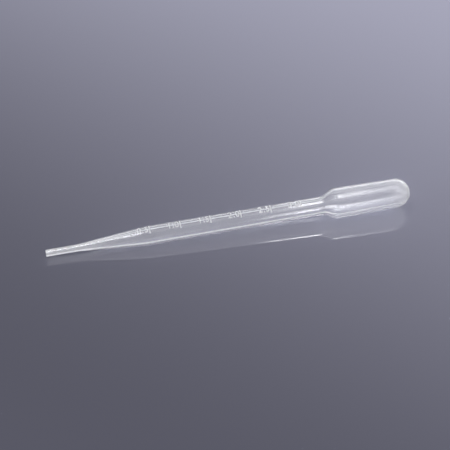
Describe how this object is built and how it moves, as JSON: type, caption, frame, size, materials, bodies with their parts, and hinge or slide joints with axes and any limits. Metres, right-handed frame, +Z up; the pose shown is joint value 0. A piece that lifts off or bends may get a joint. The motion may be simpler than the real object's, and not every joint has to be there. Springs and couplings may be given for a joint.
{
  "type": "plastic dropper pipette",
  "caption": "One-piece disposable dropper pipette of translucent plastic: fine straight tip, long taper, graduated stem and a domed squeeze bulb, hollow throughout.",
  "frame": {"origin": "on the surface the pipette lies on, under the middle of its bounding box", "axes": "+X from the tip towards the bulb, along the surface; +Z up, with the graduations on top of the stem; the pipette's own axis rises 1.8 degrees from +X towards the bulb"},
  "size_m": [0.155, 0.0132, 0.0136],
  "materials": {
    "polyethylene": "translucent natural low-density polyethylene, blow-moulded, smooth with a soft gloss"
  },
  "bodies": {
    "root": {"dropper_pipette": "polyethylene"}
  },
  "joints": []
}
